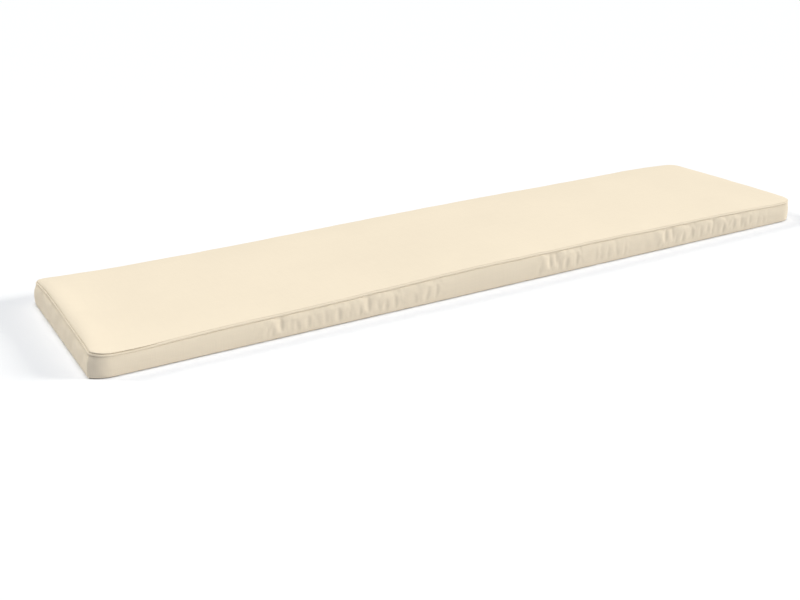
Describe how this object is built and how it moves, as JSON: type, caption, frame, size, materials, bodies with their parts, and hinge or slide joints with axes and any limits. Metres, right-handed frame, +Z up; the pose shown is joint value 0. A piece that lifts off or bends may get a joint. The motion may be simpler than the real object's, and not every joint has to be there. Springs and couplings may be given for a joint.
{
  "type": "bench cushion",
  "caption": "Long flat boxed seat cushion for a bench, with rounded corners, a softly crowned top panel, lightly puckered sides and a round piping along its top edge.",
  "frame": {"origin": "middle of the footprint, on the flat underside that the cushion lies on", "axes": "+X along the length, from the thinner end to the thicker end; -Y towards the front, the side whose boxing is puckered most; +Z up through the crowned top panel"},
  "size_m": [1.8, 0.43, 0.0626],
  "materials": {
    "cushion_cover": "matt plain-woven cream cotton, slightly slubbed",
    "cushion_piping": "the same cream cotton, cut on the bias over a round cord"
  },
  "bodies": {
    "root": {"cushion_body": "cushion_cover", "piping_top": "cushion_piping"}
  },
  "joints": []
}
